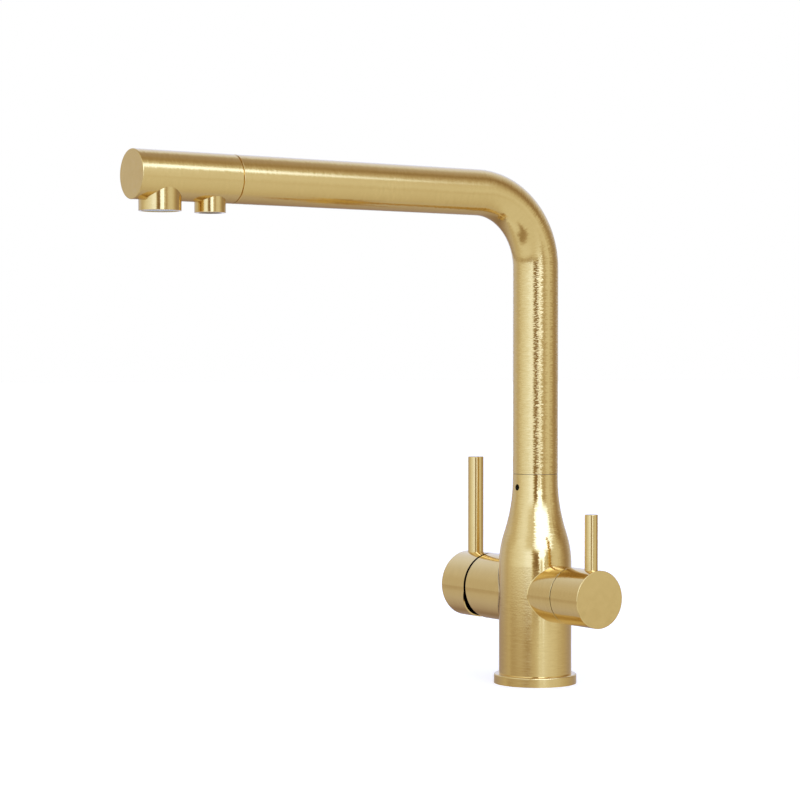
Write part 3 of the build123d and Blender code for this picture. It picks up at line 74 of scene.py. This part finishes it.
def scaled(tree, value, amount):
    """A vector times a number."""
    inputs = {0: value, "Scale": amount}
    return add(tree, "ShaderNodeVectorMath", inputs, operation="SCALE").outputs["Vector"]


def dot(tree, one, other):
    """The dot product of two vectors."""
    return add(tree, "ShaderNodeVectorMath", {0: one, 1: other}, operation="DOT_PRODUCT").outputs["Value"]


def length(tree, value):
    """The length of a vector."""
    return add(tree, "ShaderNodeVectorMath", {0: value}, operation="LENGTH").outputs["Value"]


def combined(tree, x=0.0, y=0.0, z=0.0):
    """A vector from its parts."""
    return add(tree, "ShaderNodeCombineXYZ", {0: x, 1: y, 2: z}).outputs[0]


def fade(tree, value, start, end, low=0.0, high=1.0):
    """A smooth change from low to high while value goes from start to end."""
    if start > end:
        start, end, low, high = end, start, high, low
    made = add(
        tree,
        "ShaderNodeMapRange",
        {"Value": value, "From Min": start, "From Max": end, "To Min": low, "To Max": high},
        interpolation_type="SMOOTHSTEP",
        clamp=True,
    )
    return made.outputs["Result"]


def window(tree, value, start, end, soft):
    """One between start and end, nought outside, with soft sides."""
    rise = fade(tree, value, start - soft, start + soft)
    fall = fade(tree, value, end + soft, end - soft)
    return calc(tree, "MULTIPLY", rise, fall)


def blend_numbers(tree, factor, low, high):
    """A plain mix of two numbers."""
    made = add(tree, "ShaderNodeMix", {0: factor, 2: low, 3: high}, data_type="FLOAT")
    return made.outputs[0]


def blend_colours(tree, factor, low, high):
    """A plain mix of two colours."""
    made = add(tree, "ShaderNodeMix", {0: factor, 6: low, 7: high}, data_type="RGBA")
    return made.outputs[2]


def ramp(tree, factor, stops):
    """A colour ramp through (place, colour) stops."""
    made = tree.nodes.new("ShaderNodeValToRGB")
    elements = made.color_ramp.elements
    while len(elements) < len(stops):
        elements.new(0.5)
    for element, (place, colour) in zip(elements, stops):
        element.position = place
        element.color = (*colour, 1.0)
    tree.links.new(factor, made.inputs[0])
    return made.outputs[0]


# ---------------------------------------- studio: soft light all round, brighter panels, a white backdrop
# Brightness all round, by angle in degrees to the right of the camera as the tap sees it: on the ground,
# just under the horizon, at it, and well above it.
GROUND_ROW = (
    (-180, 0.36), (-160, 0.30), (-142, 0.46), (-120, 0.60), (-90, 0.66), (-70, 0.80), (-50, 0.84),
    (-20, 0.82), (0, 0.78), (30, 0.78), (60, 0.78), (90, 0.66), (120, 0.58), (150, 0.52), (170, 0.44),
    (180, 0.36),
)
LOW_ROW = (
    (-180, 0.60), (-153, 0.42), (-129, 0.48), (-110, 0.54), (-95, 0.60), (-82, 0.50), (-70, 0.50),
    (-59, 0.54), (-48, 0.55), (-38, 0.50), (-28, 0.44), (-19, 0.50), (-9, 0.64), (0, 0.73), (10, 0.86),
    (20, 0.90), (30, 0.87), (45, 0.81), (61, 0.75), (75, 0.67), (90, 0.61), (113, 0.52), (133, 0.45),
    (150, 0.50), (180, 0.60),
)
MIDDLE_ROW = (
    (-180, 0.80), (-160, 0.68), (-146, 0.60), (-126, 0.66), (-104, 0.61), (-90, 0.73), (-75, 0.85),
    (-42, 1.02), (-28, 1.15), (-16, 1.16), (-8, 0.36), (2, 0.24), (7, 0.40), (11, 1.50), (16, 0.60),
    (19, 0.95), (23, 1.90), (27, 0.60), (32, 0.80), (38, 0.50), (44, 0.55), (50, 0.72), (60, 0.80),
    (70, 0.79), (80, 0.72), (94, 0.51), (108, 0.38), (120, 0.40), (135, 0.52), (158, 0.66), (180, 0.80),
)
HIGH_ROW = (
    (-180, 0.85), (-150, 0.82), (-136, 0.78), (-122, 0.70), (-106, 0.64), (-90, 0.66), (-77, 0.81),
    (-65, 0.93), (-53, 1.00), (-42, 0.99), (-31, 0.85), (-20, 0.80), (-8, 0.76), (2, 0.90), (45, 1.00),
    (64, 0.82), (75, 0.70), (86, 0.48), (98, 0.31), (113, 0.48), (135, 0.68), (150, 0.80), (180, 0.85),
)
# Where one row gives way to the next, in degrees above the level.
GROUND_TO_LOW = (-17.0, -9.0)
LOW_TO_MIDDLE = (-6.2, -5.0)
MIDDLE_TO_HIGH = (9.0, 19.0)
# Panels: angles to the right from, to and their softness, the same three for angles up, and brightness.
PANELS = (
    ("overhead", -200, 200, 1, 54, 100, 8, 0.42),
    ("foot of the key", 9, 28, 3, 4, 16, 3, 1.90),
    ("key", -3, 53, 9, 14, 38, 5, 2.30),
    ("upper band", 54, 73, 3, 27, 40, 5, 1.75),
    ("dark patch on the ground", -62, 14, 9, -57, -38, 5, 0.40),
)
TINT_SPAN = 2.5  # the brightest level that the tints are laid out for
# The light is warmer where it is dim and cooler in the bright panels.
TINTS = (
    (0.25, (1.00, 0.70, 0.44)),
    (0.46, (1.00, 0.86, 0.70)),
    (0.60, (1.00, 0.95, 0.88)),
    (0.73, (1.00, 1.02, 1.05)),
    (0.85, (1.00, 1.08, 1.25)),
    (1.00, (1.00, 1.15, 1.55)),
    (1.10, (1.00, 1.20, 1.80)),
    (1.50, (1.00, 1.26, 2.20)),
)
BEHIND = (95, 130)  # where the light turns cooler, to either side
BEHIND_TINT = (1.00, 1.05, 1.32)
BACKDROP = (1.0, 1.0, 1.0, 1.0)

world = bpy.data.worlds.new("studio")
bpy.context.scene.world = world
world.use_nodes = True
sky = world.node_tree
sky.nodes.clear()
direction = add(sky, "ShaderNodeTexCoord").outputs["Generated"]
towards = dot(sky, direction, TO_CAMERA)
rightward = dot(sky, direction, TO_RIGHT)
turn = calc(sky, "DEGREES", calc(sky, "ARCTAN2", rightward, towards))
height = add(sky, "ShaderNodeSeparateXYZ", {0: direction}).outputs["Z"]
rise = calc(sky, "DEGREES", calc(sky, "ARCSINE", height))

round_about = calc(sky, "MULTIPLY_ADD", turn, 1 / 360, 0.5)
ground_level, low_level, middle_level, high_level = (
    ramp(sky, round_about, [((angle + 180) / 360, (shine,) * 3) for angle, shine in row])
    for row in (GROUND_ROW, LOW_ROW, MIDDLE_ROW, HIGH_ROW)
)
level = blend_numbers(sky, fade(sky, rise, *LOW_TO_MIDDLE), low_level, middle_level)
level = blend_numbers(sky, fade(sky, rise, *MIDDLE_TO_HIGH), level, high_level)
level = blend_numbers(sky, fade(sky, rise, *GROUND_TO_LOW), ground_level, level)
for _, left, right, side_soft, low, high, end_soft, shine in PANELS:
    sideways = window(sky, turn, left, right, side_soft)
    upwards = window(sky, rise, low, high, end_soft)
    mask = calc(sky, "MULTIPLY", sideways, upwards)
    level = blend_numbers(sky, mask, level, shine)
tint = ramp(
    sky,
    calc(sky, "DIVIDE", level, TINT_SPAN),
    [(shine / TINT_SPAN, tuple(part / TINT_SPAN for part in colour)) for shine, colour in TINTS],
)
behind = fade(sky, calc(sky, "ABSOLUTE", turn), *BEHIND)
cooler = vector(sky, "MULTIPLY", tint, BEHIND_TINT)
tint = blend_colours(sky, behind, tint, cooler)
strength = calc(sky, "MULTIPLY", level, TINT_SPAN)
light = add(sky, "ShaderNodeBackground", {"Color": tint, "Strength": strength})
backdrop = add(sky, "ShaderNodeBackground", {"Color": BACKDROP, "Strength": 1.0})
seen = add(sky, "ShaderNodeLightPath").outputs["Is Camera Ray"]
mixed = add(sky, "ShaderNodeMixShader", {0: seen, 1: light.outputs[0], 2: backdrop.outputs[0]})
add(sky, "ShaderNodeOutputWorld", {0: mixed.outputs[0]})

bpy.context.scene.view_settings.view_transform = "Standard"
bpy.context.scene.view_settings.look = "None"

# ---------------------------------------- floor
FLOOR_HALF = 25.0
floor_mesh = bpy.data.meshes.new("floor")
floor_corners = [(x * FLOOR_HALF, y * FLOOR_HALF, 0.0) for x, y in ((-1, -1), (1, -1), (1, 1), (-1, 1))]
floor_mesh.from_pydata(floor_corners, [], [(0, 1, 2, 3)])
floor = bpy.data.objects.new("floor", floor_mesh)
bpy.context.scene.collection.objects.link(floor)
floor.visible_glossy = False


# ---------------------------------------- materials
# The part of a noise's range, nought to one, over which a colour or a roughness changes.
WIDE = (0.30, 0.70)
NARROW = (0.35, 0.65)


def new_material(name):
    """An empty material with its Principled shader already joined to the output."""
    made = bpy.data.materials.new(name)
    made.use_nodes = True
    tree = made.node_tree
    tree.nodes.clear()
    shader = add(tree, "ShaderNodeBsdfPrincipled")
    add(tree, "ShaderNodeOutputMaterial", {0: shader.outputs[0]})
    return made, tree, shader


def feed(tree, shader, **inputs):
    """Joins sockets to, or sets numbers on, the shader's inputs. Underscores stand for spaces."""
    for key, value in inputs.items():
        socket = shader.inputs[key.replace("_", " ")]
        if isinstance(value, bpy.types.NodeSocket):
            tree.links.new(value, socket)
        else:
            socket.default_value = value


def noise(tree, place, scale, detail=2.0):
    """Fractal noise of about nought to one."""
    inputs = {"Vector": place, "Scale": scale, "Detail": detail, "Roughness": 0.5}
    return add(tree, "ShaderNodeTexNoise", inputs).outputs["Fac"]


def bump(tree, height, distance, under=None):
    """A bump of a height in metres, over an earlier one if given."""
    inputs = {"Height": height, "Distance": distance, "Strength": 1.0}
    if under is not None:
        inputs["Normal"] = under
    return add(tree, "ShaderNodeBump", inputs).outputs["Normal"]


def lengthwise(tree, point, axis):
    """A point's two coordinates across a turned part's axis and the one along it."""
    parts = add(tree, "ShaderNodeSeparateXYZ", {0: point}).outputs
    order = {"X": ("Y", "Z", "X"), "Y": ("X", "Z", "Y"), "Z": ("X", "Y", "Z")}[axis]
    return [parts[letter] for letter in order]


# The tube rises on the swivel axis, bends about this centre and runs level towards -Y.
BEND_Z = 0.25707
BEND_Y = -0.045
BEND_RADIUS = 0.045


def along_spout(tree, point):
    """The same three coordinates, following the bent spout."""
    parts = add(tree, "ShaderNodeSeparateXYZ", {0: point}).outputs
    over = calc(tree, "MAXIMUM", calc(tree, "SUBTRACT", parts["Z"], BEND_Z), 0.0)
    from_centre = calc(tree, "SUBTRACT", parts["Y"], BEND_Y)
    out = calc(tree, "MAXIMUM", from_centre, 0.0)
    beyond = calc(tree, "MAXIMUM", calc(tree, "MULTIPLY", from_centre, -1.0), 0.0)
    swept = calc(tree, "MULTIPLY", calc(tree, "ARCTAN2", over, out), BEND_RADIUS)
    low = calc(tree, "MINIMUM", parts["Z"], BEND_Z)
    along = calc(tree, "ADD", calc(tree, "ADD", low, swept), beyond)
    offset = calc(tree, "SUBTRACT", length(tree, combined(tree, over, out)), BEND_RADIUS)
    return [parts["X"], offset, along]


AXES = {"X": (1.0, 0.0, 0.0), "Y": (0.0, 1.0, 0.0), "Z": (0.0, 0.0, 1.0)}

# Noise scales per metre, those of brushed lines around and along the part, and relief heights in metres.
COARSE_LINES = (150.0, 900.0)
FINE_LINES = (200.0, 3200.0)
STROKES = (300.0, 2600.0)
PEEL = 950.0
CLOUDS = 55.0
COARSE_HEIGHT = 1.3e-5
FINE_HEIGHT = 0.4e-5
PEEL_HEIGHT = 1.8e-5

ROUGH_LOW = 0.11
ROUGH_HIGH = 0.17
BRASS_DARK = (0.750, 0.545, 0.208, 1.0)
BRASS_LIGHT = (0.810, 0.595, 0.236, 1.0)
BRASS_CLOUDED = (0.77, 0.555, 0.212, 1.0)

CALM = 0.3  # what is left of the strokes' sway where the brushing is calmer:
CALM_SPOUT = (0.25, 0.33)  # past this length of the spout
CALM_BODY = (0.070, 0.095)  # and below the body's neck

# Painted shade in the mixer's cap: the span along the handles' axis, the radius within which it falls, its
# soft edge and its near-black colour.
CAP_INSIDE = (-0.0585, -0.0450)  # along the handles' axis
CAP_MOUTH_RADIUS = 0.0200
CAP_EDGE = 0.0002
CAP_PAINTED_SHADE = (0.012, 0.008, 0.005, 1.0)
HANDLE_Z = 0.0566

BODY_RADIUS = 0.0225
SADDLE_WIDTH = 0.0010  # of the soft corner where the handles' seats meet the body
SADDLE_TILT = 3.0


def spout_direction(tree, point):
    """The spout's direction where it passes a point, of any length."""
    parts = add(tree, "ShaderNodeSeparateXYZ", {0: point}).outputs
    over = calc(tree, "MAXIMUM", calc(tree, "SUBTRACT", parts["Z"], BEND_Z), 0.0)
    out = calc(tree, "MAXIMUM", calc(tree, "SUBTRACT", parts["Y"], BEND_Y), 0.0)
    back = calc(tree, "MULTIPLY", over, -1.0)
    return combined(tree, y=back, z=out)


def swayed(tree, axis, amount):
    """The surface normal, turned about the brushed part's axis by an amount in radians."""
    to_world = {"vector_type": "VECTOR", "convert_from": "OBJECT", "convert_to": "WORLD"}
    direction = add(tree, "ShaderNodeVectorTransform", {0: axis}, **to_world).outputs[0]
    normal = add(tree, "ShaderNodeNewGeometry").outputs["Normal"]
    sideways = vector(tree, "NORMALIZE", vector(tree, "CROSS_PRODUCT", direction, normal))
    return vector(tree, "NORMALIZE", vector(tree, "ADD", normal, scaled(tree, sideways, amount)))


def brass(name, path, brushed, mottled, gloss, sway):
    """Brushed brass. The path is the part's axis, or "spout". Brushed and mottled scale the relief of the
    lines and of the orange peel, gloss lowers the roughness, and sway is how far the strokes turn the
    surface about the axis, in radians."""
    made, tree, shader = new_material(name)
    point = add(tree, "ShaderNodeTexCoord").outputs["Object"]
    if path == "spout":
        across_a, across_b, along = along_spout(tree, point)
        axis = spout_direction(tree, point)
    else:
        across_a, across_b, along = lengthwise(tree, point, path)
        axis = AXES[path]

    def stretched(around_scale, along_scale):
        scales = ((across_a, around_scale), (across_b, around_scale), (along, along_scale))
        return combined(tree, *(calc(tree, "MULTIPLY", part, scale) for part, scale in scales))

    coarse = noise(tree, stretched(*COARSE_LINES), 1.0)
    fine = noise(tree, stretched(*FINE_LINES), 1.0)
    peel = noise(tree, point, PEEL)
    cloud = noise(tree, point, CLOUDS, 3.0)
    lines = blend_numbers(tree, 0.5, coarse, fine)
    colour = blend_colours(tree, fade(tree, lines, *WIDE), BRASS_DARK, BRASS_LIGHT)
    # Random cloudy tone; on the handles, the painted shade in the mixer's cap is laid over it further down.
    tone_and_painted_shade = blend_colours(tree, fade(tree, cloud, *NARROW, 0.0, 0.5), colour, BRASS_CLOUDED)
    blur = blend_numbers(tree, 0.4, lines, cloud)
    rough = fade(tree, blur, *NARROW, ROUGH_LOW - gloss, ROUGH_HIGH - gloss)
    strokes = noise(tree, stretched(*STROKES), 1.0, 1.0)
    amount = calc(tree, "MULTIPLY", calc(tree, "SUBTRACT", strokes, 0.5), sway)
    if path == "spout":
        amount = calc(tree, "MULTIPLY", amount, fade(tree, along, *CALM_SPOUT, 1.0, CALM))
    elif path == "Z":
        amount = calc(tree, "MULTIPLY", amount, fade(tree, along, *CALM_BODY, CALM, 1.0))
    normal = bump(tree, coarse, COARSE_HEIGHT * brushed, under=swayed(tree, axis, amount))
    normal = bump(tree, fine, FINE_HEIGHT * brushed, under=normal)
    normal = bump(tree, peel, PEEL_HEIGHT * mottled, under=normal)
    if path == "X":
        # Painted shade: within the mixer's cap, where its hollow shows in the gap under it, the brass is
        # coloured near black to stand in for the missing light.
        from_handles = calc(tree, "SUBTRACT", across_b, HANDLE_Z)
        from_axis = length(tree, combined(tree, across_a, from_handles))
        between = window(tree, along, *CAP_INSIDE, CAP_EDGE)
        cap_painted_shade_mask = calc(tree, "MULTIPLY", between, calc(tree, "LESS_THAN", from_axis, CAP_MOUTH_RADIUS))
        tone_and_painted_shade = blend_colours(tree, cap_painted_shade_mask, tone_and_painted_shade, CAP_PAINTED_SHADE)
        # The normal leans away from the body's axis in the soft corner beside the body.
        outward = combined(tree, along, across_a)
        corner = fade(
            tree, length(tree, outward), BODY_RADIUS + SADDLE_WIDTH, BODY_RADIUS, 0.0, SADDLE_TILT
        )
        lean = scaled(tree, vector(tree, "NORMALIZE", outward), corner)
        normal = vector(tree, "NORMALIZE", vector(tree, "ADD", normal, lean))
    feed(tree, shader, Base_Color=tone_and_painted_shade, Metallic=1.0, Roughness=rough, Normal=normal)
    return made


METAL_PATCHES = 90.0
METAL_RELIEF = 1.0e-5
MOULDED_GRAIN = 900.0
MOULDED_PATCHES = 120.0
MOULDED_RELIEF = 1.5e-5


def plain_metal(name, colour, darker, rough_low, rough_high, line_scale):
    """Turned or rolled metal without a brushed finish."""
    made, tree, shader = new_material(name)
    point = add(tree, "ShaderNodeTexCoord").outputs["Object"]
    lines = noise(tree, point, line_scale, 3.0)
    patches = noise(tree, point, METAL_PATCHES)
    feed(
        tree,
        shader,
        Base_Color=blend_colours(tree, fade(tree, patches, *NARROW), (*darker, 1.0), (*colour, 1.0)),
        Metallic=1.0,
        Roughness=fade(tree, lines, *WIDE, rough_low, rough_high),
        Normal=bump(tree, lines, METAL_RELIEF),
    )
    return made


def moulded(name, colour, darker, rough_low, rough_high, **constants):
    """Plastic, rubber or ceramic: slight colour patches and a fine grain."""
    made, tree, shader = new_material(name)
    point = add(tree, "ShaderNodeTexCoord").outputs["Object"]
    specks = noise(tree, point, MOULDED_GRAIN, 3.0)
    patches = noise(tree, point, MOULDED_PATCHES)
    feed(
        tree,
        shader,
        Base_Color=blend_colours(tree, fade(tree, patches, *NARROW), (*darker, 1.0), (*colour, 1.0)),
        Roughness=fade(tree, specks, *WIDE, rough_low, rough_high),
        Normal=bump(tree, specks, MOULDED_RELIEF),
        **constants,
    )
    return made


BRASS_PIECES = {
    "body": ("body_casting",),
    "turned": ("base_flange", "mixer_lever", "filter_lever", "main_outlet_collar", "filter_outlet_collar"),
    "handles": ("mixer_housing", "filter_boss", "mixer_handle_cap", "filter_knob"),
    "head": ("spout_head",),
    "tube": ("spout_tube",),
}
# For each: the path, then brushed, mottled, gloss and sway.
BRASSES = {
    "body": ("Z", 0.15, 0.50, 0.05, 0.28),
    "turned": ("Z", 0.40, 0.20, 0.02, 0.05),
    "handles": ("X", 0.30, 0.16, 0.02, 0.03),
    "head": ("Y", 0.80, 0.80, 0.00, 0.14),
    "tube": ("spout", 0.80, 0.45, 0.00, 0.52),
}
brasses = {kind: brass("brass_" + kind, *look) for kind, look in BRASSES.items()}
brass_of = {name: brasses[kind] for kind, names in BRASS_PIECES.items() for name in names}
# For each metal: its colour, a darker one, the roughness from and to, and the scale of its lines.
METALS = {
    "raw_brass": ((0.55, 0.42, 0.20), (0.45, 0.33, 0.15), 0.28, 0.42, 1400.0),
    "stainless_steel": ((0.58, 0.58, 0.57), (0.46, 0.46, 0.46), 0.25, 0.40, 1200.0),
}
# For each moulded material: its colour, a darker one, and the roughness from and to.
MOULDINGS = {
    "black_rubber": ((0.020, 0.020, 0.021), (0.012, 0.012, 0.012), 0.55, 0.75),
    "white_ceramic": ((0.86, 0.85, 0.82), (0.80, 0.79, 0.76), 0.10, 0.18),
    "white_plastic": ((0.82, 0.82, 0.79), (0.76, 0.76, 0.73), 0.38, 0.52),
    "grey_plastic": ((0.16, 0.165, 0.17), (0.12, 0.12, 0.125), 0.40, 0.55),
    "clear_hose": ((0.72, 0.75, 0.78), (0.64, 0.67, 0.70), 0.28, 0.40),
    "aerator_plastic": ((0.56, 0.57, 0.57), (0.47, 0.48, 0.48), 0.35, 0.50),
    "bearing_plastic": ((0.20, 0.13, 0.05), (0.16, 0.10, 0.04), 0.45, 0.60),
}
# Blackened steel for the black-oxide grub screws and the cartridge nut: a real finish, made near black with
# a weak sheen so that it also acts as painted shade on the nut where it shows in the gap under the mixer's
# cap.
BLACKENED_WITH_PAINTED_SHADE = ((0.008, 0.007, 0.006), (0.005, 0.005, 0.005), 0.45, 0.60)
finishes = {name: plain_metal(name, *look) for name, look in METALS.items()}
finishes.update({name: moulded(name, *look) for name, look in MOULDINGS.items()})
finishes["blackened_steel"] = moulded("blackened_steel", *BLACKENED_WITH_PAINTED_SHADE, Specular_IOR_Level=0.12)

slot_of = {part["node"]: part["material_slot"] for part in frame["record"]["subparts"]}
for name, obj in frame["nodes"].items():
    finish = brass_of.get(name) or finishes[slot_of[name]]
    for holder in obj.material_slots:
        holder.material = finish

FLOOR_COLOUR = (0.92, 0.92, 0.915, 1.0)
FLOOR_GLOW = 0.42  # lifts the floor to the backdrop's white
FLOOR_GRAIN = 400.0
FLOOR_ROUGHNESS = (0.55, 0.65)
floor_material, floor_tree, floor_shader = new_material("floor")
floor_place = add(floor_tree, "ShaderNodeTexCoord").outputs["Object"]
floor_specks = noise(floor_tree, floor_place, FLOOR_GRAIN)
feed(
    floor_tree,
    floor_shader,
    Base_Color=FLOOR_COLOUR,
    Roughness=fade(floor_tree, floor_specks, *WIDE, *FLOOR_ROUGHNESS),
    Emission_Color=(1.0, 1.0, 1.0, 1.0),
    Emission_Strength=FLOOR_GLOW,
)
floor_mesh.materials.append(floor_material)
